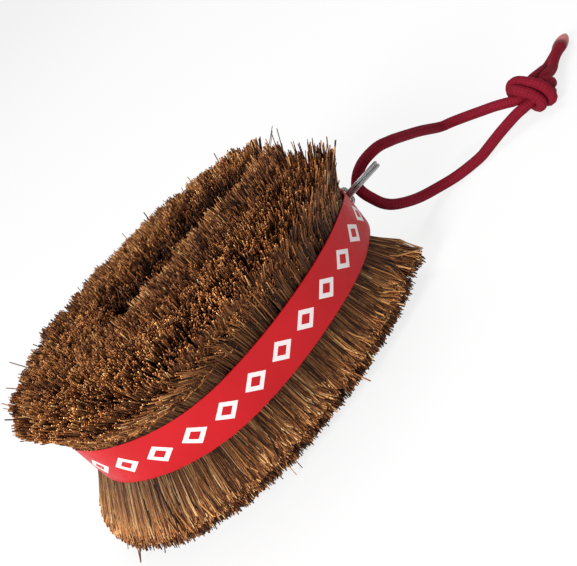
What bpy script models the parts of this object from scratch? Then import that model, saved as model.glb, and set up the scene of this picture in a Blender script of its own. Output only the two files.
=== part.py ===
"""Palm-fibre scrub brush: a fibre roll wound on twisted wire, bent double and held by a waist band.

The long side of the brush lies along X, with the wire eye, split ring and hanging cord at +X.
It stands on the tips of its lower fibres at Z = 0. All lengths are in metres.
"""

import math
import random

import bmesh
import bpy
from mathutils import Matrix, Vector

# Band round the waist, an oval strip
BAND_HALF_LENGTH = 0.049
BAND_HALF_WIDTH = 0.032
BAND_ROUNDNESS = 2.15
BAND_HEIGHT = 0.012
BAND_END_HEIGHT = 0.0086
BAND_NARROWING_X = 0.028
BAND_WALL = 0.0004
BAND_SEGMENTS = 80

# Twisted wire core, a hairpin of two legs and a round bend at -X
WIRE_RADIUS = 0.0009
WIRE_PITCH = 0.012
TURN_POINTS = 8
LEG_OFFSET = 0.0185
LEG_END_OFFSET = 0.012
LEG_END_X = 0.035
TAPER_START_X = 0.008
BEND_CENTRE_X = -0.018
GRIP_POINTS = 7

# Fibres, from their packed roots on the wire to the trimmed tips
ROOT_WALL = 0.0018
ROOT_FLATS = 4
ROOT_ARC = math.radians(145)
FIBRE_HEIGHT = 0.025
STANDING_CUT = 0.0005
VALLEY_CLEARANCE = 0.0006
BEND_HOLE_RADIUS = 0.004
FAN_START_X = 0.004
UPPER_FAN = math.radians(17)
LOWER_FAN = math.radians(22)

# How far the fibres stand out past the band, at places on the wire along X
UPPER_FLARE = [
    (-0.0365, 0.0069),
    (-0.0180, 0.0079),
    (0.0000, 0.0062),
    (0.0180, 0.0060),
    (0.0350, 0.0062),
]
LOWER_FLARE = [
    (-0.0365, 0.0103),
    (-0.0180, 0.0076),
    (0.0000, 0.0056),
    (0.0180, 0.0048),
    (0.0350, 0.0070),
]

# Strands, in columns along the wire and rows from the band over the crest to the valley
LEG_COLUMNS = 8
BEND_COLUMNS = 11
TIP_SPREAD_SHARE = 0.62
NECK_SPREAD_SHARE = 0.74
NECK_PLACE_SHARE = 0.6
SHIFT_SHARE = 0.1
SHORTER_SHARE = 0.04
FIRST_SEED = 7

# Wire eye, which the twisted wire ends grip, and the split ring in it
EYE_WIRE_RADIUS = 0.0006
EYE_HALF_HEIGHT = 0.0027
EYE_CORNER_RADIUS = 0.0012
EYE_REACH = 0.0027
EYE_TAIL = 0.0056
EYE_DROP = 0.002
RING_OUTER_RADIUS = 0.007
RING_WIRE_RADIUS = 0.0005
RING_TURN_GAP = 0.0005
RING_ROLL = math.radians(-30)
RING_START = math.radians(110)
RING_CLIMB = math.radians(80)
RING_END_GAP = math.radians(6)
LOOP_POINTS = 24
CORNER_POINTS = 4

# Hanging cord: a loop threaded through the ring, knotted together, its two ends fused at the tip
CORD_RADIUS = 0.0015
CORD_STEP = 0.003
KNOT_CENTRE = Vector((0.1118, -0.0090, 0.0054))
KNOT_HALF_LENGTH = 0.0065
KNOT_HALF_WIDTH = 0.0100
KNOT_HALF_HEIGHT = 0.0053
KNOT_SEGMENTS = 16
MELTED_LENGTH = 0.003
MELTED_SIDES = 12

# The loop's route, from the knot over the ring, down through it and back along the surface
LOOP_ROUTE = [
    (0.1085, 0.0030, 0.0030),
    (0.1050, 0.0074, 0.0036),
    (0.0990, 0.0092, 0.0062),
    (0.0915, 0.0080, 0.0110),
    (0.0833, 0.0046, 0.0170),
    (0.0745, 0.0006, 0.0228),
    (0.0705, -0.0012, 0.0252),
    (0.0662, -0.0016, 0.0269),
    (0.0610, -0.0008, 0.0267),
    (0.0573, -0.0002, 0.0250),
    (0.0549, 0.0000, 0.0226),
    (0.0548, -0.0010, 0.0202),
    (0.0557, -0.0018, 0.0171),
    (0.0572, -0.0028, 0.0137),
    (0.0602, -0.0034, 0.0107),
    (0.0670, -0.0022, 0.0062),
    (0.0754, -0.0012, 0.0026),
    (0.0817, -0.0034, 0.0017),
    (0.0888, -0.0056, 0.0016),
    (0.0965, -0.0066, 0.0016),
    (0.1020, -0.0070, 0.0020),
]

# The route between the two ends, which lie side by side beyond the knot
TAIL_ROUTE = [
    (0.1200, -0.0064, 0.0050),
    (0.1240, -0.0046, 0.0038),
    (0.1285, -0.0030, 0.0024),
    (0.1330, -0.0012, 0.0018),
    (0.1385, 0.0010, 0.0016),
]

# Melted tip that fuses the ends: share of its length, share of the two ends' outline
MELTED_SHARES = [
    (0, 1),
    (0.6, 0.8),
    (1, 0.5),
]

# Distance kept between pieces that touch, and how far a cutter passes the wall that it cuts
CLEARANCE = 0.0003
OVERRUN = 0.001

# Rounds of halving that find a length
HALVINGS = 40

# Tips of the rows above the waist row: share of the sideways reach, share of the height.
# A positive reach runs out past the band, a negative one in to the valley between the legs.
UPPER_TIP_SHARES = [
    (0.66, 0.43),
    (0.82, 0.70),
    (1.00, 0.86),
    (0.80, 0.95),
    (0.45, 1.00),
    (-0.06, 1.00),
    (-0.58, 0.92),
    (-1.00, 0.68),
    (-1.00, 0.28),
]
LOWER_TIP_SHARES = [
    (0.80, 0.43),
    (1.00, 0.66),
    (1.00, 0.81),
    (0.79, 0.90),
    (0.47, 1.00),
    (-0.06, 1.00),
    (-0.58, 0.92),
    (-1.00, 0.68),
    (-1.00, 0.28),
]
WAIST_TOP_SHARE = 0.7
CREST_ROW = 5
ROW_COUNT = len(UPPER_TIP_SHARES)

# Sizes that follow from those above
UP = Vector((0, 0, 1))
HALF_BAND = BAND_HEIGHT / 2
WAIST_Z = FIBRE_HEIGHT - STANDING_CUT
TWIST_RADIUS = WIRE_RADIUS + CLEARANCE / 2
CORE_RADIUS = TWIST_RADIUS + WIRE_RADIUS
ROOT_INNER_RADIUS = (CORE_RADIUS + CLEARANCE) / math.cos(math.pi / ROOT_FLATS / 2)
ROOT_OUTER_RADIUS = ROOT_INNER_RADIUS + ROOT_WALL
EYE_Z = WAIST_Z - EYE_DROP
EYE_TAIL_X = BAND_HALF_LENGTH - EYE_TAIL
EYE_BAR_X = BAND_HALF_LENGTH + EYE_REACH
RING_RADIUS = RING_OUTER_RADIUS - RING_WIRE_RADIUS
RING_X = EYE_BAR_X - EYE_WIRE_RADIUS - CLEARANCE - RING_WIRE_RADIUS + RING_RADIUS
RING_RIM_X = RING_X + RING_RADIUS


class Station:
    """A place along the wire: its point, the way to the free end, the way out, and the fan angle there."""

    def __init__(self, point, along, outward, fan):
        self.point = point
        self.along = along
        self.outward = outward
        self.fan = fan

    def place(self, sideways, height):
        """The point that far out and up, leaning towards the free end by the fan angle."""
        reach = math.hypot(sideways, height)
        spread = self.outward * sideways + UP * height
        return self.point + spread * math.cos(self.fan) + self.along * reach * math.sin(self.fan)

    def level(self, height):
        """The height to ask for so that the leaning point ends at this true height."""
        return height / math.cos(self.fan)

    def reach(self, allowed, direction, height):
        """How far a fibre at this height goes out (1) or in (-1) while its point is still allowed."""
        near = 0
        far = BAND_HALF_LENGTH
        for halving in range(HALVINGS):
            middle = (near + far) / 2
            if allowed(self.place(direction * middle, height)):
                near = middle
            else:
                far = middle
        return near


def inside_band(point):
    """True within the room that the band leaves the fibres."""
    wall = BAND_WALL + CLEARANCE
    x = abs(point.x) / (BAND_HALF_LENGTH - wall)
    y = abs(point.y) / (BAND_HALF_WIDTH - wall)
    return x**BAND_ROUNDNESS + y**BAND_ROUNDNESS < 1


def leg_station(x, side, fan=0):
    """A station on the leg at that side, 1 for +Y and -1 for -Y. fan is the lean at the leg's free end."""
    taper = LEG_END_X - TAPER_START_X
    run = max((x - TAPER_START_X) / taper, 0)
    draw_in = LEG_OFFSET - LEG_END_OFFSET
    point = Vector((x, side * (LEG_OFFSET - draw_in * run**2), WAIST_Z))
    along = Vector((1, -side * 2 * draw_in * run / taper, 0)).normalized()
    outward = Vector((-side * along.y, side * along.x, 0))
    fan_run = max((x - FAN_START_X) / (LEG_END_X - FAN_START_X), 0)
    return Station(point, along, outward, fan * fan_run**2)


def bend_station(angle):
    """A station on the bend, at that angle round the bend's centre."""
    outward = Vector((math.cos(angle), math.sin(angle), 0))
    centre = Vector((BEND_CENTRE_X, 0, WAIST_Z))
    return Station(centre + outward * LEG_OFFSET, outward.cross(UP), outward, 0)


def leg_stations(side, fan):
    """Stations between the columns of a leg, half a clearance away from the bend."""
    start = BEND_CENTRE_X + CLEARANCE / 2
    step = (LEG_END_X - start) / LEG_COLUMNS
    return [leg_station(start + step * i, side, fan) for i in range(LEG_COLUMNS + 1)]


def bend_stations():
    """Stations between the columns of the bend, half a clearance away from each leg at the roots."""
    trim = math.asin(CLEARANCE / 2 / (LEG_OFFSET - ROOT_OUTER_RADIUS))
    sweep = math.pi - 2 * trim
    return [bend_station(math.pi / 2 + trim + sweep * i / BEND_COLUMNS) for i in range(BEND_COLUMNS + 1)]


def valley_reach(station, height):
    """How far in a fibre goes before it meets the fibres of the other leg, or the hole of the bend."""
    if station.point.x < BEND_CENTRE_X:
        return LEG_OFFSET - BEND_HOLE_RADIUS
    side = math.copysign(1, station.point.y)
    return station.reach(lambda point: point.y * side > VALLEY_CLEARANCE, -1, height)


def root_point(station, radius, angle, half):
    """A point on the packed roots, half a clearance off the mid plane. half is 1 above it and -1 below."""
    lift = max(radius * math.sin(angle), CLEARANCE / 2)
    return station.point + station.outward * radius * math.cos(angle) + UP * half * lift


def flare_at(x, half):
    """How far the fibres stand out past the band there. half is 1 for the upper fibres, -1 for the lower."""
    table = UPPER_FLARE if half == 1 else LOWER_FLARE
    for (start, low), (end, high) in zip(table, table[1:]):
        if x <= end:
            return low + (high - low) * max((x - start) / (end - start), 0)
    return table[-1][1]


def row_edges(station, half):
    """(neck, tip) on both edges of each row of strands, the waist row first. Straight rows have no neck."""
    waist = []
    for height in (CLEARANCE, WAIST_TOP_SHARE * HALF_BAND):
        level = station.level(height)
        waist.append((None, station.place(station.reach(inside_band, 1, level), half * level)))
    rows = [waist]
    flare = station.reach(inside_band, 1, station.level(HALF_BAND)) + flare_at(station.point.x, half)
    tips = []
    for reach_share, height_share in (UPPER_TIP_SHARES if half == 1 else LOWER_TIP_SHARES):
        height = height_share * FIBRE_HEIGHT
        reach = flare if reach_share > 0 else valley_reach(station, height)
        tips.append(station.place(reach_share * reach, half * height))
    over_band = station.level(HALF_BAND + 2 * CLEARANCE)
    neck_low = station.place(station.reach(inside_band, 1, over_band), half * over_band)
    root_high = root_point(station, ROOT_OUTER_RADIUS, ROOT_ARC * 2 / ROW_COUNT, half)
    neck_high = root_high.lerp(tips[1], NECK_PLACE_SHARE)
    rows.append([(neck_low, tips[0]), (neck_high, tips[1])])
    for low, high in zip(tips[1:], tips[2:]):
        rows.append([(None, low), (None, high)])
    return rows


def patch_corners(first, last, spread, shift):
    """Four corners of the middle part of the patch between two stations, in order round it."""
    low = (1 - spread) / 2 + shift
    high = (1 + spread) / 2 + shift
    near = [first[0].lerp(last[0], share) for share in (low, high)]
    far = [first[1].lerp(last[1], share) for share in (low, high)]
    return [
        near[0].lerp(far[0], low),
        near[0].lerp(far[0], high),
        near[1].lerp(far[1], high),
        near[1].lerp(far[1], low),
    ]


def cut_at_floor(root, tip):
    """The tip, or where its strand crosses the surface that the brush stands on."""
    if tip.z >= 0:
        return tip
    return root.lerp(tip, root.z / (root.z - tip.z))


def add_strand(mesh, root, rings):
    """A tapering strand from four root vertices through rings of four points, closed at its tip."""
    below = root
    for ring in rings:
        above = [mesh.verts.new(point) for point in ring]
        for i in range(4):
            mesh.faces.new((below[i], below[i - 1], above[i - 1], above[i]))
        below = above
    mesh.faces.new(below)


def fibre_mesh(stations, half, seed):
    """A slice of the packed roots with its strands. half is 1 for the upper fibres and -1 for the lower."""
    dice = random.Random(seed)
    mesh = bmesh.new()
    outer = []
    inner = []
    for station in stations:
        angles = [ROOT_ARC * i / ROW_COUNT for i in range(ROW_COUNT + 1)] + [math.pi]
        outer.append([mesh.verts.new(root_point(station, ROOT_OUTER_RADIUS, a, half)) for a in angles])
        angles = [math.pi * i / ROOT_FLATS for i in range(ROOT_FLATS + 1)]
        inner.append([mesh.verts.new(root_point(station, ROOT_INNER_RADIUS, a, half)) for a in angles])
    rows = [row_edges(station, half) for station in stations]
    for i in range(len(stations) - 1):
        for row in range(ROW_COUNT):
            root = [outer[i][row], outer[i][row + 1], outer[i + 1][row + 1], outer[i + 1][row]]
            shift = dice.uniform(-SHIFT_SHARE, SHIFT_SHARE)
            rings = []
            if rows[i][row][0][0]:
                necks = [[edge[0] for edge in rows[j][row]] for j in (i, i + 1)]
                rings.append(patch_corners(necks[0], necks[1], NECK_SPREAD_SHARE, 0))
            tips = [[edge[1] for edge in rows[j][row]] for j in (i, i + 1)]
            corners = patch_corners(tips[0], tips[1], TIP_SPREAD_SHARE, shift)
            below = rings[-1] if rings else [vert.co.copy() for vert in root]
            if row not in (0, CREST_ROW):
                shorter = 1 - SHORTER_SHARE * dice.random()
                corners = [foot.lerp(tip, shorter) for foot, tip in zip(below, corners)]
            rings.append([cut_at_floor(foot, tip) for foot, tip in zip(below, corners)])
            add_strand(mesh, root, rings)
        mesh.faces.new((outer[i][-2], outer[i][-1], outer[i + 1][-1], outer[i + 1][-2]))
        for side in (0, -1):
            mesh.faces.new((outer[i][side], outer[i + 1][side], inner[i + 1][side], inner[i][side]))
        for flat in range(ROOT_FLATS):
            mesh.faces.new((inner[i][flat], inner[i][flat + 1], inner[i + 1][flat + 1], inner[i + 1][flat]))
    for end in (0, -1):
        mesh.faces.new(outer[end] + inner[end][::-1])
    bmesh.ops.recalc_face_normals(mesh, faces=mesh.faces)
    return mesh


def oval(half_length, half_width):
    """Points of the band's oval, anticlockwise."""
    power = 2 / BAND_ROUNDNESS
    points = []
    for i in range(BAND_SEGMENTS):
        x = math.cos(math.tau * i / BAND_SEGMENTS)
        y = math.sin(math.tau * i / BAND_SEGMENTS)
        x = math.copysign(abs(x) ** power, x)
        y = math.copysign(abs(y) ** power, y)
        points.append(Vector((half_length * x, half_width * y, 0)))
    return points


def band_mesh():
    """The closed strip, narrowed and drawn down to the eye at its end, before its slot is cut."""
    mesh = bmesh.new()
    rings = []
    for wall, half in ((0, -1), (0, 1), (BAND_WALL, 1), (BAND_WALL, -1)):
        points = oval(BAND_HALF_LENGTH - wall, BAND_HALF_WIDTH - wall)
        for point in points:
            run = max((point.x - BAND_NARROWING_X) / (BAND_HALF_LENGTH - BAND_NARROWING_X), 0)
            draw = run * run * (3 - 2 * run)
            height = BAND_HEIGHT + (BAND_END_HEIGHT - BAND_HEIGHT) * draw
            point.z = WAIST_Z - EYE_DROP * draw + half * height / 2
        rings.append([mesh.verts.new(point) for point in points])
    for k in range(len(rings)):
        for i in range(BAND_SEGMENTS):
            mesh.faces.new((rings[k - 1][i - 1], rings[k - 1][i], rings[k][i], rings[k][i - 1]))
    bmesh.ops.recalc_face_normals(mesh, faces=mesh.faces)
    return mesh


def slot_mesh():
    """A block that cuts the slot for the wire eye through the end of the band."""
    half_width = EYE_WIRE_RADIUS + CLEARANCE
    half_height = EYE_HALF_HEIGHT + EYE_WIRE_RADIUS + CLEARANCE
    size = Vector((2 * OVERRUN + BAND_WALL, 2 * half_width, 2 * half_height))
    mesh = bmesh.new()
    bmesh.ops.create_cube(mesh, size=1, matrix=Matrix.Diagonal((*size, 1)))
    bmesh.ops.translate(mesh, verts=mesh.verts, vec=(BAND_HALF_LENGTH - BAND_WALL / 2, 0, EYE_Z))
    return mesh


def wire_line():
    """The centre of the twisted pair, from one gripping end round the hairpin to the other."""
    grip_y = EYE_WIRE_RADIUS + CLEARANCE + CORE_RADIUS
    grip = Vector((EYE_TAIL_X + CORE_RADIUS, grip_y, WAIST_Z))
    leg_end = leg_station(LEG_END_X, 1)
    pull = (grip - leg_end.point).length / 3
    lead = bezier(grip, grip - Vector((pull, 0, 0)), leg_end.point + leg_end.along * pull, leg_end.point)
    step = (LEG_END_X - BEND_CENTRE_X) / LEG_COLUMNS / 2
    leg = [leg_station(LEG_END_X - step * i, 1).point for i in range(1, 2 * LEG_COLUMNS)]
    half_turn = BEND_COLUMNS * 2
    bend = [bend_station(math.pi / 2 + math.pi * i / half_turn).point for i in range(half_turn // 2 + 1)]
    first_half = lead + leg + bend
    mirror = Matrix.Diagonal((1, -1, 1))
    return first_half + [mirror @ point for point in reversed(first_half[:-1])]


def bezier(start, first_pull, last_pull, end):
    """Points of a smooth curve, both ends included."""
    points = []
    for i in range(GRIP_POINTS + 1):
        t = i / GRIP_POINTS
        a = start.lerp(first_pull, t)
        b = first_pull.lerp(last_pull, t)
        c = last_pull.lerp(end, t)
        points.append(a.lerp(b, t).lerp(b.lerp(c, t), t))
    return points


def walk(points, step):
    """Points a step apart along a line, and the way on at each."""
    places = []
    travelled = 0
    due = 0
    for start, end in zip(points, points[1:]):
        length = (end - start).length
        way = (end - start).normalized()
        while due <= travelled + length:
            places.append((start + way * (due - travelled), way))
            due += step
        travelled += length
    return places


def twisted_wire(phase):
    """One of the two wires, winding round the other."""
    points = []
    for i, (centre, way) in enumerate(walk(wire_line(), WIRE_PITCH / TURN_POINTS)):
        angle = phase + math.tau * i / TURN_POINTS
        across = way.cross(UP)
        points.append(centre + TWIST_RADIUS * (across * math.cos(angle) + UP * math.sin(angle)))
    return points


def eye_points():
    """The closed wire eye, a rounded oblong in the XZ plane that reaches out through the slot."""
    radius = EYE_CORNER_RADIUS
    half_length = (EYE_BAR_X - EYE_TAIL_X) / 2
    middle = Vector(((EYE_BAR_X + EYE_TAIL_X) / 2, 0, EYE_Z))
    points = []
    for corner in range(4):
        x = math.copysign(half_length - radius, (1, -1, -1, 1)[corner])
        z = math.copysign(EYE_HALF_HEIGHT - radius, (1, 1, -1, -1)[corner])
        for i in range(CORNER_POINTS):
            angle = math.pi / 2 * (corner + i / (CORNER_POINTS - 1))
            offset = Vector((x + radius * math.cos(angle), 0, z + radius * math.sin(angle)))
            points.append(middle + offset)
    return points


def ring_points():
    """The split ring, two flat turns with a climb between them, rolled about X in the eye."""
    rise = 2 * RING_WIRE_RADIUS + RING_TURN_GAP
    climb_start = math.tau + RING_START - RING_CLIMB
    end = math.tau + climb_start - RING_END_GAP
    step = math.tau / LOOP_POINTS
    count = round((end - RING_START) / step)
    roll = Matrix.Rotation(RING_ROLL, 3, "X")
    points = []
    for i in range(count + 1):
        angle = RING_START + (end - RING_START) * i / count
        climb = min(max((angle - climb_start) / RING_CLIMB, 0), 1)
        lift = rise * (climb * climb * (3 - 2 * climb) - 1 / 2)
        spot = Vector((RING_RADIUS * math.cos(angle), RING_RADIUS * math.sin(angle), lift))
        points.append(Vector((RING_X, 0, EYE_Z)) + roll @ spot)
    return points


def smooth_line(points, step):
    """Points about a step apart on a smooth curve through the given ones."""
    line = [points[0]]
    for i in range(len(points) - 1):
        before = points[max(i - 1, 0)]
        start = points[i]
        end = points[i + 1]
        after = points[min(i + 2, len(points) - 1)]
        count = max(round((end - start).length / step), 1)
        for k in range(1, count + 1):
            t = k / count
            pull = (end - before) * (t - 2 * t**2 + t**3) / 2
            push = (after - start) * (t**3 - t**2) / 2
            line.append(start + (end - start) * (3 * t**2 - 2 * t**3) + pull + push)
    return line


def knot_mesh():
    """The outer shape of the knot in the doubled cord."""
    mesh = bmesh.new()
    bmesh.ops.create_uvsphere(mesh, u_segments=KNOT_SEGMENTS, v_segments=KNOT_SEGMENTS // 2, radius=1)
    size = Matrix.Diagonal((KNOT_HALF_LENGTH, KNOT_HALF_WIDTH, KNOT_HALF_HEIGHT, 1))
    mesh.transform(Matrix.Translation(KNOT_CENTRE) @ size)
    return mesh


def knot_face(place):
    """The point a clearance off the knot and nearest to that place, where a cord's end meets it squarely."""
    sizes = (KNOT_HALF_LENGTH, KNOT_HALF_WIDTH, KNOT_HALF_HEIGHT)
    offset = place - KNOT_CENTRE
    near = 0
    far = offset.length_squared
    for halving in range(HALVINGS):
        pull = (near + far) / 2
        foot = Vector([part * size**2 / (size**2 + pull) for part, size in zip(offset, sizes)])
        if sum((part / size) ** 2 for part, size in zip(foot, sizes)) > 1:
            near = pull
        else:
            far = pull
    return KNOT_CENTRE + foot + (offset - foot).normalized() * CLEARANCE


def loop_points():
    """The cord's loop, from the knot round through the ring and back to the knot."""
    route = [Vector(place) for place in LOOP_ROUTE]
    return smooth_line([knot_face(route[0])] + route + [knot_face(route[-1])], CORD_STEP)


def tail_line():
    """The line between the two ends, from the knot to the tip."""
    route = [Vector(place) for place in TAIL_ROUTE]
    return smooth_line([knot_face(route[0])] + route, CORD_STEP)


def tail_points(side):
    """One of the two ends, beside that line. side is 1 or -1."""
    line = tail_line()
    points = []
    for i, place in enumerate(line):
        way = line[min(i + 1, len(line) - 1)] - line[max(i - 1, 0)]
        points.append(place + side * (CORD_RADIUS + CLEARANCE / 2) * way.cross(UP).normalized())
    return points


def tip_mesh():
    """The melted tip that fuses the two ends, as wide as both and tapering to a blunt end."""
    before, end = tail_line()[-2:]
    way = (end - before).normalized()
    aside = way.cross(UP).normalized()
    rise = aside.cross(way)
    mesh = bmesh.new()
    rings = []
    for length_share, size_share in MELTED_SHARES:
        middle = end + way * (CLEARANCE + MELTED_LENGTH * length_share)
        ring = []
        for i in range(MELTED_SIDES):
            angle = math.tau * i / MELTED_SIDES
            across = aside * 2 * CORD_RADIUS * math.cos(angle) + rise * CORD_RADIUS * math.sin(angle)
            ring.append(mesh.verts.new(middle + across * size_share))
        rings.append(ring)
    for below, above in zip(rings, rings[1:]):
        for i in range(MELTED_SIDES):
            mesh.faces.new((below[i - 1], below[i], above[i], above[i - 1]))
    mesh.faces.new(rings[0])
    mesh.faces.new(rings[-1])
    bmesh.ops.recalc_face_normals(mesh, faces=mesh.faces)
    return mesh


def least_gap(points, radius, apart):
    """The least gap of a round wire to itself, between points at least that many steps apart."""
    gap = math.inf
    for i, first in enumerate(points):
        for j in range(i + apart, len(points)):
            start = points[j]
            span = points[min(j + 1, len(points) - 1)] - start
            share = 0
            if span.length > 0:
                share = min(max((first - start).dot(span) / span.length_squared, 0), 1)
            gap = min(gap, (first - start - span * share).length - 2 * radius)
    return gap


def material(name, colour, roughness, metallic=0):
    """A plain surface with that colour."""
    surface = bpy.data.materials.new(name)
    surface.use_nodes = True
    shader = surface.node_tree.nodes["Principled BSDF"]
    shader.inputs["Base Color"].default_value = (*colour, 1)
    shader.inputs["Roughness"].default_value = roughness
    shader.inputs["Metallic"].default_value = metallic
    return surface


def add_object(name, data, surface, origin=Vector()):
    """A named object with its own material, its mesh or curve placed about that origin."""
    thing = bpy.data.objects.new(name, data)
    thing.location = origin
    data.materials.append(surface)
    bpy.context.scene.collection.objects.link(thing)
    return thing


def add_mesh(name, mesh, surface, origin=Vector(), smooth=False):
    """An object from a bmesh."""
    data = bpy.data.meshes.new(name)
    mesh.transform(Matrix.Translation(-origin))
    mesh.to_mesh(data)
    mesh.free()
    if smooth:
        data.shade_smooth()
        data.set_sharp_from_angle(angle=math.radians(40))
    return add_object(name, data, surface, origin)


def add_tube(name, points, radius, surface, origin=Vector(), resolution=1, closed=False):
    """A round wire or cord along a line of points."""
    data = bpy.data.curves.new(name, "CURVE")
    data.dimensions = "3D"
    data.bevel_depth = radius
    data.bevel_resolution = resolution
    data.use_fill_caps = not closed
    spline = data.splines.new("POLY")
    spline.points.add(len(points) - 1)
    spline.use_cyclic_u = closed
    for slot, point in zip(spline.points, points):
        slot.co = (*(point - origin), 1)
    return add_object(name, data, surface, origin)


def build_fibres():
    """Six sections of fibre: two legs and the bend, above and below the mid plane."""
    seed = FIRST_SEED
    for half, place, fan in ((1, "upper", UPPER_FAN), (-1, "lower", LOWER_FAN)):
        sections = {
            "front_leg": leg_stations(-1, fan),
            "back_leg": leg_stations(1, fan),
            "bend": bend_stations(),
        }
        for section, stations in sections.items():
            name = f"fibre_{place}_{section}"
            surface = material(name, (0.30, 0.15, 0.06), 0.85)
            add_mesh(name, fibre_mesh(stations, half, seed), surface)
            seed += 1


def build_band():
    """The band, with the slot that the wire eye comes out of."""
    band = add_mesh("waist_band", band_mesh(), material("waist_band", (0.62, 0.02, 0.03), 0.4), smooth=True)
    slot = add_mesh("eye_slot", slot_mesh(), material("eye_slot", (0.5, 0.5, 0.5), 0.5))
    slot.hide_render = True
    slot.display_type = "WIRE"
    cut = band.modifiers.new("slot", "BOOLEAN")
    cut.operation = "DIFFERENCE"
    cut.solver = "EXACT"
    cut.object = slot


def build_wires():
    """The twisted pair of core wires and the eye between their ends."""
    for letter, phase in (("a", 0), ("b", math.pi)):
        name = f"core_wire_{letter}"
        add_tube(name, twisted_wire(phase), WIRE_RADIUS, material(name, (0.55, 0.56, 0.58), 0.4, 1))
    surface = material("wire_eye", (0.6, 0.61, 0.63), 0.35, 1)
    add_tube("wire_eye", eye_points(), EYE_WIRE_RADIUS, surface, resolution=2, closed=True)


def build_ring():
    """The split ring, its origin on the eye's outer bar, round which it swings."""
    points = ring_points()
    print("split ring: least gap to itself", round(least_gap(points, RING_WIRE_RADIUS, LOOP_POINTS // 2), 5))
    surface = material("split_ring", (0.62, 0.63, 0.65), 0.3, 1)
    add_tube("split_ring", points, RING_WIRE_RADIUS, surface, Vector((EYE_BAR_X, 0, EYE_Z)))


def build_cord():
    """The hanging cord, its pieces' origins on the ring's outer rim, where it swings."""
    rim = Vector((RING_RIM_X, 0, EYE_Z))
    tubes = {"cord_loop": loop_points(), "cord_tail_a": tail_points(1), "cord_tail_b": tail_points(-1)}
    for name, points in tubes.items():
        surface = material(name, (0.25, 0.01, 0.03), 0.7)
        add_tube(name, points, CORD_RADIUS, surface, rim, resolution=2)
    add_mesh("cord_knot", knot_mesh(), material("cord_knot", (0.25, 0.01, 0.03), 0.7), rim, smooth=True)
    add_mesh("cord_tip", tip_mesh(), material("cord_tip", (0.5, 0.2, 0.2), 0.5), rim, smooth=True)


def centre_on_brush():
    """Moves everything along X, so that the origin lies under the middle of the brush and its ring."""
    bpy.context.view_layer.update()
    corners = []
    for thing in bpy.data.objects:
        if not thing.hide_render and not thing.name.startswith("cord_"):
            corners += [(thing.matrix_world @ Vector(corner)).x for corner in thing.bound_box]
    middle = (min(corners) + max(corners)) / 2
    for thing in bpy.data.objects:
        thing.location.x -= middle
    print("moved along X by", round(-middle, 5))
    print("ring turns about", [round(part, 5) for part in bpy.data.objects["split_ring"].location])
    print("cord turns about", [round(part, 5) for part in bpy.data.objects["cord_loop"].location])


def build():
    """The whole brush."""
    for thing in list(bpy.data.objects):
        bpy.data.objects.remove(thing)
    build_fibres()
    build_band()
    build_wires()
    build_ring()
    build_cord()
    centre_on_brush()


build()
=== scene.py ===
import math

import bmesh
import bpy
import numpy as np
from mathutils import Matrix, Vector


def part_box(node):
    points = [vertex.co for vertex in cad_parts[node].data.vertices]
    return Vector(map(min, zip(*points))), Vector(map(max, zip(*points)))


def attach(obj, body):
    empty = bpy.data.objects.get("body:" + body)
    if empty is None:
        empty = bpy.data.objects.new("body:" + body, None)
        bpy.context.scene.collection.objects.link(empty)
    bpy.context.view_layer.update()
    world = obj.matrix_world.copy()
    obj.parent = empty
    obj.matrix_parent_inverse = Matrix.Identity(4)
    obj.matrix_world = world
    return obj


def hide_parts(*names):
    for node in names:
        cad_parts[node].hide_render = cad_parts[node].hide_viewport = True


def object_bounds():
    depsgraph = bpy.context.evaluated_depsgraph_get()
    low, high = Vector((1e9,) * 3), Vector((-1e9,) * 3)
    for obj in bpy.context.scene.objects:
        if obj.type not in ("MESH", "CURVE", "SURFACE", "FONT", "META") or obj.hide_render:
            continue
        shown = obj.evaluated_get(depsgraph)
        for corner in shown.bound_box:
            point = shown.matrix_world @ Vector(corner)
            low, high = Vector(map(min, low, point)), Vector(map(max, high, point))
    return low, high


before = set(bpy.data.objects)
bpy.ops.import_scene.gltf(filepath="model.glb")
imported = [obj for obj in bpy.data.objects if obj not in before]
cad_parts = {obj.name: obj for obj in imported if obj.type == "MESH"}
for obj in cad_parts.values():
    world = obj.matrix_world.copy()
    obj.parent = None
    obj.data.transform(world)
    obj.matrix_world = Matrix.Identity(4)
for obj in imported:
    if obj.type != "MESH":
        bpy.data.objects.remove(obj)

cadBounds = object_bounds()
bandLow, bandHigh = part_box("waist_band")
middleX = (bandLow[0] + bandHigh[0]) / 2  # how far the CAD moves the brush along X
waistZ = 0.0245
home = np.array([middleX, 0, waistZ])  # the middle of the brush
scene = bpy.context.scene
print("frame loaded")


# Camera

viewOfPhoto = {
    "distance": 0.240,
    "azimuth": -14.06,
    "elevation": 27.62,
    "roll": 41.15,
    "lens": 55.9,
    "aside": 0.02078,  # it looks right of the brush's middle and below it
    "lift": -0.00347,
    "clipStart": 0.01,
}


def addCamera(view):
    azimuth, elevation, roll = (math.radians(view[key]) for key in ("azimuth", "elevation", "roll"))
    back = Vector((math.sin(azimuth), -math.cos(azimuth), 0)) * math.cos(elevation)
    back.z = math.sin(elevation)
    right = Vector((math.cos(azimuth), math.sin(azimuth), 0))
    up = back.cross(right)
    target = right * view["aside"] + up * view["lift"] + Vector(home)
    rolledRight = right * math.cos(roll) - up * math.sin(roll)
    rolledUp = right * math.sin(roll) + up * math.cos(roll)
    data = bpy.data.cameras.new("photoCamera")
    data.lens = view["lens"]
    data.clip_start = view["clipStart"]
    camera = bpy.data.objects.new("photoCamera", data)
    turn = Matrix((rolledRight, rolledUp, back)).transposed().to_4x4()
    camera.matrix_world = Matrix.Translation(target + back * view["distance"]) @ turn
    scene.collection.objects.link(camera)
    scene.camera = camera


addCamera(viewOfPhoto)


# Shader helpers

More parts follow.
